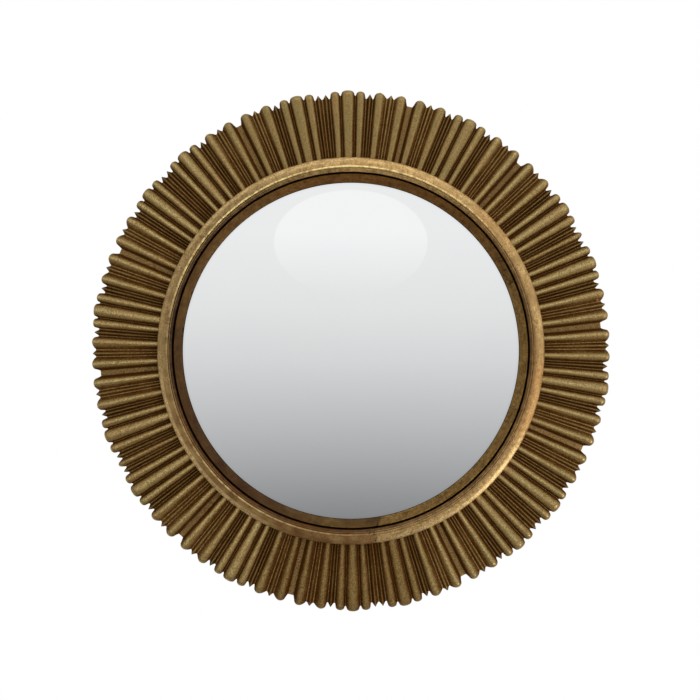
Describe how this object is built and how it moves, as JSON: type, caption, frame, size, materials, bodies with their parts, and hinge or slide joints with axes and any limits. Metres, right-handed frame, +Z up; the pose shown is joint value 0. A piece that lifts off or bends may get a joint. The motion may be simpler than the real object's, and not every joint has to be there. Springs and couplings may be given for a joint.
{
  "type": "convex wall mirror",
  "caption": "Round convex wall mirror in a gilt ring of radial pleats, with a turned bead, a bevelled slip and two swinging D ring hangers on the back.",
  "frame": {"origin": "on the mirror's axis, in the plane of the skirt's back edge, which rests on the wall", "axes": "+Y points at the wall along the mirror's axis, the glass faces -Y, +Z is up as hung, +X is to the right as the front shows it"},
  "size_m": [0.5963, 0.0599, 0.6],
  "materials": {
    "gilt_ribs": "cast resin, antique gold paint over a dark brown ground",
    "gilt_bead": "cast resin, bright gold leaf finish worn to a red brown ground",
    "gilt_slip": "moulded slip, dark gold paint, black in the shadow gap",
    "black_tape": "black tape",
    "mirror_glass": "convex glass, silvered on the back",
    "foam": "soft foam",
    "block_wood": "plain softwood",
    "fibreboard": "bare fibreboard",
    "hardboard": "smooth hardboard",
    "steel": "zinc plated",
    "plated_steel": "brass plated steel"
  },
  "bodies": {
    "mirror": {"pleated_ring": "gilt_ribs", "bead_moulding": "gilt_bead", "inner_slip": "gilt_slip", "glass_tape": "black_tape", "convex_glass": "mirror_glass", "glass_pads": "foam", "glass_blocks": "block_wood", "carrier_ring": "fibreboard", "back_board": "hardboard", "board_points": "steel", "hanger_strap_left": "plated_steel", "hanger_strap_right": "plated_steel", "hanger_screws": "steel"},
    "ring_left": {"hanger_ring_left": "plated_steel"},
    "ring_right": {"hanger_ring_right": "plated_steel"}
  },
  "joints": [
    {"name": "ring_left_swing", "type": "hinge", "parent": "mirror", "child": "ring_left", "pos_m": [-0.212, -0.0038, 0.13], "axis": [1, 0, 0], "range_deg": [0, 180]},
    {"name": "ring_right_swing", "type": "hinge", "parent": "mirror", "child": "ring_right", "pos_m": [0.212, -0.0038, 0.13], "axis": [1, 0, 0], "range_deg": [0, 180]}
  ]
}
